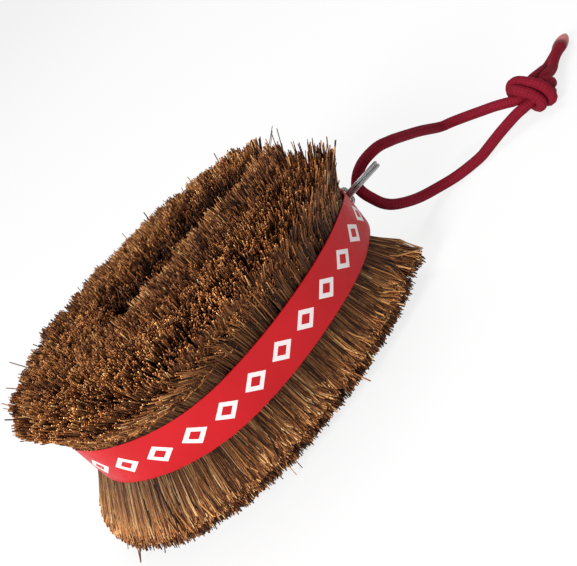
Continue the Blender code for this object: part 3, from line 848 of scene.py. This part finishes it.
def sectionTone(x, row, half, valleySide, skin, onSurface):
    if half == -1:
        # painted shade on the strands behind the lower surface, under the rim
        inside = smoothStep(row, *tones["lowerInsideRows"])
        tone = tones["lower"] + tones["lowerSurface"] * onSurface - tones["lowerInsideShade"] * inside
    else:
        # painted highlight along the front leg's crest
        crest = tones["crest"] * np.exp(-((row - tones["crestRow"]) / tones["crestWidth"]) ** 2)
        tone = tones["upper"] + crest * (valleySide == -1) + tones["skin"] * skin
        if valleySide == 1:
            # painted light over the back leg, and painted shade on it towards the valley
            tone = tone + tones["backLegLight"] - tones["backValleyShade"] * smoothStep(row, *tones["backValleyRows"])
    # painted light on the bend
    tone = tone + (0 if valleySide else tones["bend"])
    # painted shade towards the open end
    return tone - tones["openEndShade"] * smoothStep(x, *tones["openEndX"])


def strandRadius(dice, count, spread):
    return fibres["radius"] * dice.uniform(*spread, count)


def addSection(name, node, count, half, stationsOf, valleySide, seed, material):
    dice = np.random.default_rng(seed)
    share = (np.arange(count) + dice.random(count)) / count
    stations = stationsOf(share)
    x = stations.point[:, 0]
    row, skin = spreadRows(dice, count, half, skinShare(share, x, seed))
    onSurface = np.maximum(1 - smoothStep(row, *shape["cling"][half]), skin)
    depth = np.abs(dice.normal(0, fibres["depthSpread"][half], count))
    root, neck, middle, tip = strandLines(stations, row, half, valleySide, depth, onSurface)
    if valleySide:
        onEnd = ((x > fibres["endFaceX"]) & (onSurface < 0.3)).astype(float)
        neck = mix(neck, root, fibres["endFaceDrop"] * onEnd)
    # a tuft draws together and has its own length and tone, so that dark slits open between the tufts
    centre = gatherTufts(dice, tip, stations, count // fibres["tuftStrands"])
    calm = 1 - fibres["surfaceCalm"] * onSurface
    tuftLift = dice.normal(0, fibres["tuftLift"][half], count)[centre] * calm
    tuftTone = dice.normal(0, tones["tuftSpread"], count)[centre]
    draw = fibres["gather"] * dice.uniform(*fibres["gatherSpread"], count) * fibres["gatherShare"][half]
    toCentre = tip[centre] - tip
    alongPart = stations.along * np.einsum("ij,ij->i", toCentre, stations.along)[:, None]
    tip = tip + mix(toCentre, alongPart, onSurface) * draw[:, None]
    if half == -1:
        tip = tip + stations.along * (clumpPull(dice, share, stations) * onSurface)[:, None]
    # each strand has its own length, which changes along its own way
    way = tip - neck
    length = np.linalg.norm(way, axis=1)
    way = way / length[:, None]
    lengthSpread = np.where(onSurface > 0.5, fibres["surfaceLengthSpread"], fibres["lengthSpread"])
    change = tuftLift + dice.normal(-fibres["shorter"], lengthSpread, count)
    if half == 1 and valleySide == -1:
        longer = dice.exponential(fibres["endLonger"], count) - fibres["endShorter"]
        change = change + smoothStep(x, *fibres["endLongerX"]) * longer
    if half == -1:
        change = change + fibres["rimLonger"] * onSurface * smoothStep(x, *fibres["rimLongerX"])
    stray = dice.random(count) < fibres["strays"]
    change = np.where(stray, dice.uniform(*fibres["strayLength"], count), change)
    # and its own lean along the wire
    much, little = fibres["lean"]
    lean = dice.normal(0, np.where(dice.random(count) < fibres["leaning"], much, little), count) * length
    tip = tip + way * change[:, None] + stations.along * lean[:, None]
    tip = tip + dice.normal(0, fibres["tipSpread"], (count, 3))
    middle = middle + stations.along * (lean * 0.5)[:, None]
    middle = middle + dice.normal(0, fibres["middleSpread"], (count, 3))
    swept = skin * (half == 1) * length * smoothStep(x, *fibres["sweepFrom"])
    swept = swept * (1 - smoothStep(x, *fibres["sweepTo"]))
    tip[:, 0] -= fibres["sweepTip"] * swept
    middle[:, 0] -= fibres["sweepMiddle"] * swept
    tip = tip + np.where(stray[:, None], dice.normal(0, fibres["straySpread"], (count, 3)), 0)
    line = np.stack([neck, middle, tip], axis=1) + home
    trimTips(line)
    thick = strandRadius(dice, count, fibres["radiusSpread"]) * (1 + fibres["surfaceRadius"] * onSurface)
    radius = thick[:, None] * np.array(fibres["taper"])
    tone = sectionTone(x, row, half, valleySide, skin, onSurface)
    tone = np.clip(tone + tuftTone + dice.normal(0, tones["spread"][half], count), 0, 1)
    piece = addStrands(name, line, radius, tone, palette["tipCap"][half], material)
    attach(piece, "brush")
    if node:
        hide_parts(node)


# the mass of packed fibre behind the strands of a section, nearly black as painted shade deep in the fibre
packed = {
    "columns": 24,
    "rows": 22,
    "depth": 0.0013,  # inwards from the strands' necks
    "start": 0.004,  # share of the section
    "legEnd": 0.965,
    "bendEnd": 0.996,
    "rise": 0.75,  # share of the way from the strands' necks to their middles
    "edgeRise": 0.45,  # taken off that over the band's edge
    "edgeRows": (1.0, 3.0),
    "wireGap": 0.001,
    "weld": 0.00002,
}


def addMass(name, form, material):
    bmesh.ops.recalc_face_normals(form, faces=form.faces)
    piece = addPiece(name, meshFrom(name, form), material)
    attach(piece, "brush")


def addPacked(name, half, stationsOf, valleySide, material):
    grid = bmesh.new()
    bmesh.ops.create_grid(grid, x_segments=packed["columns"], y_segments=packed["rows"], size=0.5)
    place = np.array([vert.co for vert in grid.verts])
    row = (place[:, 1] + 0.5) * lastRow
    end = packed["legEnd"] if valleySide else packed["bendEnd"]
    stations = stationsOf(np.clip(place[:, 0] + 0.5, packed["start"], end))
    cling = 1 - smoothStep(row, *shape["cling"][half])
    depth = np.full(len(row), packed["depth"])
    _, neck, middle, _ = strandLines(stations, row, half, valleySide, depth, cling)
    overEdge = 1 - smoothStep(row, *packed["edgeRows"])
    outer = mix(neck, middle, packed["rise"] - packed["edgeRise"] * overEdge)
    wire = stations.point + upWay * half * packed["wireGap"] + home
    for vert, point in zip(grid.verts, outer + home):
        vert.co = point
    rim = [edge for edge in grid.edges if edge.is_boundary]
    made = bmesh.ops.extrude_edge_only(grid, edges=rim)["geom"]
    for vert in made:
        if isinstance(vert, bmesh.types.BMVert):
            vert.co = wire[np.argmin(np.linalg.norm(wire - np.array(vert.co), axis=1))]
    bmesh.ops.holes_fill(grid, edges=[edge for edge in grid.edges if edge.is_boundary])
    bmesh.ops.remove_doubles(grid, verts=grid.verts, dist=packed["weld"])
    addMass(name, grid, material)


# short strands and blocks that fill the band's open end beside the wire eye; the blocks are nearly black, as
# painted shade
bandEnd = {
    "strands": 2400,
    "x": (0.0350, 0.0470),
    "wall": 0.0012,  # how far inside the band's outline the tips stay
    "eyeGap": 0.0014,
    "rise": (-0.0006, 0.0016),  # over the band's edge
    "startX": (0.027, 0.034),
    "startY": (0.009, 0.015),
    "startZ": (0.0008, 0.0030),
    "middleSpread": 0.0003,
    "radiusSpread": (0.7, 1.3),
    "seedShift": 40,
    "blockX": 0.030,
    "blockLength": 0.0168,
    "blockWall": 0.0016,
    "blockEyeGap": 0.0011,
    "blockSink": 0.0004,  # below the band's edge
    "blockCuts": 7,
}


def addEndFibres(name, half, seed, material):
    # splayed forward from the ends of both legs
    dice = np.random.default_rng(seed)
    count = bandEnd["strands"]
    gap = bandEnd["eyeGap"]
    x = dice.uniform(*bandEnd["x"], count)
    side = dice.choice([-1, 1], count)
    y = side * (gap + (bandRoom(x, bandEnd["wall"]) - gap) * dice.random(count))
    z = half * (bandEdge(x, half) + dice.uniform(*bandEnd["rise"], count))
    tip = np.stack([x, y, z], axis=1)
    startX = dice.uniform(*bandEnd["startX"], count)
    startY = side * dice.uniform(*bandEnd["startY"], count)
    startZ = half * dice.uniform(*bandEnd["startZ"], count)
    start = np.stack([startX, startY, startZ], axis=1)
    middle = (start + tip) / 2 + dice.normal(0, bandEnd["middleSpread"], (count, 3))
    line = np.stack([start, middle, tip], axis=1) + home
    radius = strandRadius(dice, count, bandEnd["radiusSpread"])[:, None] * np.array(fibres["taper"])
    tone = np.clip(tones["bandEnd"] + dice.normal(0, tones["bandEndSpread"], count), 0, 1)
    piece = addStrands(name, line, radius, tone, palette["tipCap"][half], material)
    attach(piece, "brush")


def addEndPacked(name, side, material):
    block = bmesh.new()
    bmesh.ops.create_cube(block, size=1)
    bmesh.ops.subdivide_edges(block, edges=block.edges, cuts=bandEnd["blockCuts"], use_grid_fill=True)
    gap = bandEnd["blockEyeGap"]
    for vert in block.verts:
        x = bandEnd["blockX"] + bandEnd["blockLength"] * (vert.co.x + 0.5)
        y = gap + (bandRoom(x, bandEnd["blockWall"]) - gap) * (vert.co.y + 0.5)
        top, bottom = bandEdge(x, 1) - bandEnd["blockSink"], bandEnd["blockSink"] - bandEdge(x, -1)
        z = (top + bottom) / 2 + vert.co.z * (top - bottom)
        vert.co = (x + middleX, side * y, z + waistZ)
    addMass(name, block, material)


def addFibres():
    strandMaterials = {1: fibrePaint("palmFibre", 0.08, 0.97), -1: fibrePaint("palmFibreLong", -0.06, 0.80)}
    packedShadeMaterial = packedShadePaint()
    seed = fibres["seed"]
    for half, level in ((1, "Upper"), (-1, "Lower")):
        low = level.lower()
        fan = shape["fan"][half]
        sections = [
            (f"fibre{level}FrontLeg", f"fibre_{low}_front_leg", fibres["legStrands"], -1,
             lambda s, f=fan: legStations(s, -1, f)),
            (f"fibre{level}BackLeg", f"fibre_{low}_back_leg", fibres["legStrands"], 1,
             lambda s, f=fan: legStations(s, 1, f)),
            (f"fibre{level}BendFront", None, fibres["bendStrands"], 0,
             lambda s: bendStations(math.pi + math.pi / 2 * s)),
            (f"fibre{level}BendBack", f"fibre_{low}_bend", fibres["bendStrands"], 0,
             lambda s: bendStations(math.pi / 2 + math.pi / 2 * s)),
        ]
        for name, node, count, side, stationsOf in sections:
            addSection(name, node, count, half, stationsOf, side, seed, strandMaterials[half])
            addPacked(name + "Packed", half, stationsOf, side, packedShadeMaterial)
            seed += 1
        addEndFibres(f"fibre{level}End", half, seed + bandEnd["seedShift"], strandMaterials[half])
    addEndPacked("fibreFrontEndPacked", -1, packedShadeMaterial)
    addEndPacked("fibreBackEndPacked", 1, packedShadeMaterial)
    print("fibres made")


addFibres()


# Band, a closed oval strip

def bandPaint():
    paint = Paint("waistBand", roughness=0.42, Specular_IOR_Level=0.18)
    place = paint.objectPlace()
    cloud = paint.noise(place, 60.0)
    fine = paint.noise(place, 900.0, 2.0)
    dark, light = band["colours"]
    red = paint.ramp(cloud, [(0.3, dark), (0.7, light)])
    around, height, _ = paint.split(paint.uvPlace("strip"))
    step = around / band["markPitch"]
    cell = (step - step.apply("FLOOR") - 0.5) * band["markPitch"]
    size = cell.apply("ABSOLUTE") / band["markLength"] + height.apply("ABSOLUTE") / band["markHeight"]
    mark = (size < 1.0) * (size > band["markHole"])
    paint.feed("Base Color", paint.blend(mark, red, band["markColour"]))
    paint.feed("Roughness", paint.spread(fine, 0.3, 0.7, 0.34, 0.5))
    paint.feed("Normal", paint.bump(cloud, 0.2, 0.0004))
    return paint.material


def ovalPoint(turn):
    # a point of the band's oval, with its middle line's height and half the strip's height there
    power = 2 / shape["bandRoundness"]
    x, y = math.cos(turn), math.sin(turn)
    x = shape["bandHalfLength"] * math.copysign(abs(x) ** power, x)
    y = shape["bandHalfWidth"] * math.copysign(abs(y) ** power, y)
    top, bottom = bandEdge(x, 1), -bandEdge(x, -1)
    return Vector((x + middleX, y, waistZ + (top + bottom) / 2)), (top - bottom) / 2


def printMap(strip, layer):
    # how far round the oval and how high on the strip each corner is, in metres
    steps = band["measures"]
    arc = np.array([ovalPoint(math.tau * i / steps)[0] for i in range(steps + 1)])
    walked = np.concatenate([[0], np.cumsum(np.linalg.norm(np.diff(arc[:, :2], axis=0), axis=1))])
    for face in strip.faces:
        turns = [math.atan2(loop.vert.co.y, loop.vert.co.x) % math.tau for loop in face.loops]
        crossing = max(turns) - min(turns) > math.pi
        for loop, turn in zip(face.loops, turns):
            around = np.interp(turn, np.linspace(0, math.tau, steps + 1), walked)
            if crossing and turn < math.pi:
                around += walked[-1]
            loop[layer].uv = (around, loop.vert.co.z * ovalPoint(turn)[1])


def cutSlot(strip):
    # the slot at +X, through which the wire eye comes out
    end, half = ovalPoint(0)
    slot = []
    for face in strip.faces:
        spot = face.calc_center_median()
        inHeight = abs(spot.z - end.z) < half * band["slotShare"]
        if spot.x > middleX and abs(spot.y) < band["slotHalfWidth"] and inHeight:
            slot.append(face)
    bmesh.ops.delete(strip, geom=slot, context="FACES")


def addBand():
    # a ring of height -1 to 1, with edges for the slot, which is then laid on the oval
    strip = bmesh.new()
    bmesh.ops.create_circle(strip, segments=band["segments"], radius=1)
    for vert in strip.verts:
        vert.co.z = -1
    made = bmesh.ops.extrude_edge_only(strip, edges=list(strip.edges))["geom"]
    for vert in made:
        if isinstance(vert, bmesh.types.BMVert):
            vert.co.z = 1
    upright = [edge for edge in strip.edges if len({round(v.co.z) for v in edge.verts}) == 2]
    bmesh.ops.subdivide_edges(strip, edges=upright, cuts=3, use_grid_fill=True)
    for vert in strip.verts:
        if round(abs(vert.co.z), 2) == 0.5:
            vert.co.z = math.copysign(band["slotShare"], vert.co.z)
    layer = strip.loops.layers.uv.new("strip")
    printMap(strip, layer)
    for vert in strip.verts:
        middle, half = ovalPoint(math.atan2(vert.co.y, vert.co.x))
        vert.co = middle + Vector((0, 0, vert.co.z * half))
    cutSlot(strip)
    bmesh.ops.recalc_face_normals(strip, faces=strip.faces)
    bmesh.ops.solidify(strip, geom=list(strip.faces), thickness=band["wall"])
    bmesh.ops.recalc_face_normals(strip, faces=strip.faces)
    for face in strip.faces:
        spot = face.calc_center_median()
        if face.normal.x * (spot.x - middleX) + face.normal.y * spot.y < band["outward"]:
            for loop in face.loops:
                loop[layer].uv.y += 1  # out of the print, which is on the outside only
    mesh = meshFrom("waistBandStrip", strip, smooth=True)
    mesh.set_sharp_from_angle(angle=math.radians(40))
    piece = addPiece("waistBandStrip", mesh, bandPaint())
    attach(piece, "brush")
    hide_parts("waist_band")
    print("band made")


addBand()


# Steel: core wires, wire eye and split ring

ring = {
    "wire": 0.00054,  # radius of the wire
    "resolution": 3,
    "outer": 0.0070,
    "middle": 0.00695,  # from the CAD ring's lowest X
    "roll": math.radians(-27.4),
    "start": math.radians(110),
    "climb": math.radians(80),  # over which it passes from the first turn to the second
    "short": math.radians(5),  # by which it ends short of that place
    "steps": 300,
}

steels = {
    "wireSteel": {"roughness": 0.38, "colour": (0.56, 0.57, 0.58)},
    "ringSteel": {"roughness": 0.42, "colour": (0.50, 0.50, 0.50)},
}


def steelPaint(name):
    roughness, colour = steels[name]["roughness"], steels[name]["colour"]
    paint = Paint(name, roughness=roughness, metallic=1)
    cloud = paint.noise(paint.objectPlace(), 500.0)
    dark = tuple(part * 0.72 for part in colour)
    paint.feed("Base Color", paint.ramp(cloud, [(0.3, dark), (0.7, colour)]))
    paint.feed("Roughness", paint.spread(cloud, 0.3, 0.7, roughness - 0.08, roughness + 0.12))
    return paint.material


def addRing():
    # two turns of wire, one over the other, with a climb between them
    low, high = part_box("split_ring")
    climbStart = math.tau + ring["start"] - ring["climb"]
    end = math.tau + climbStart - ring["short"]
    radius = ring["outer"] - ring["wire"]
    middle = Vector((low[0] + ring["middle"], 0, (low[2] + high[2]) / 2))
    roll = Matrix.Rotation(ring["roll"], 3, "X")
    line = []
    for i in range(ring["steps"] + 1):
        angle = ring["start"] + (end - ring["start"]) * i / ring["steps"]
        run = min(max((angle - climbStart) / ring["climb"], 0), 1)
        lift = 2 * ring["wire"] * (run * run * (3 - 2 * run) - 0.5)
        line.append(middle + roll @ Vector((radius * math.cos(angle), radius * math.sin(angle), lift)))
    piece = addTube("splitRing", line, ring["wire"], ring["resolution"], steelPaint("ringSteel"))
    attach(piece, "ring")
    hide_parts("split_ring")


def dressNodes():
    steel = steelPaint("wireSteel")
    for node in ("core_wire_a", "core_wire_b", "wire_eye"):
        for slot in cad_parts[node].material_slots:
            slot.material = steel


addRing()
dressNodes()
print("nodes dressed")


# Floor and light

studio = {
    "floorHalf": 6,
    "floorColour": (0.9, 0.9, 0.9, 1),
    "floorGlow": 0.8,  # share of the seen floor that is plain white
    "worldStrength": 0.42,
    "lookAt": (0, 0, 0.03),
    "lamps": {
        "keyLight": {"place": (-0.80, -0.50, 0.50), "size": 0.35, "watts": 12},
        "topLight": {"place": (0.1, 0.3, 0.9), "size": 0.5, "watts": 3},
    },
}


def floorPaint():
    paint = Paint("whiteFloor", roughness=1, Base_Color=studio["floorColour"], Specular_IOR_Level=0)
    rays = ("Is Camera Ray", "Is Glossy Ray", "Is Transmission Ray")
    seen, mirrored, through = (paint.node("ShaderNodeLightPath", {}, {}, ray) for ray in rays)
    glow = paint.node("ShaderNodeEmission", {}, {"Strength": 1})
    share = (seen + mirrored + through) * studio["floorGlow"]
    matt = Wire(paint, paint.shader.outputs[0])
    both = paint.node("ShaderNodeMixShader", {}, {0: share, 1: matt, 2: glow})
    paint.tree.links.new(both.socket, paint.tree.nodes["Material Output"].inputs["Surface"])
    return paint.material


def addFloor():
    sheet = bmesh.new()
    bmesh.ops.create_grid(sheet, x_segments=1, y_segments=1, size=studio["floorHalf"])
    addPiece("floor", meshFrom("floor", sheet), floorPaint())


def addLights():
    for name, lamp in studio["lamps"].items():
        data = bpy.data.lights.new(name, "AREA")
        data.shape = "DISK"
        data.size = lamp["size"]
        data.energy = lamp["watts"]
        light = bpy.data.objects.new(name, data)
        light.location = lamp["place"]
        back = Vector(lamp["place"]) - Vector(studio["lookAt"])
        light.rotation_euler = back.to_track_quat("Z", "Y").to_euler()
        scene.collection.objects.link(light)


def addWorld():
    world = bpy.data.worlds.new("studio")
    scene.world = world
    world.use_nodes = True
    background = world.node_tree.nodes["Background"]
    background.inputs["Color"].default_value = (1, 1, 1, 1)
    background.inputs["Strength"].default_value = studio["worldStrength"]


addFloor()
addLights()
addWorld()
scene.view_settings.view_transform = "Standard"
print("stage set")
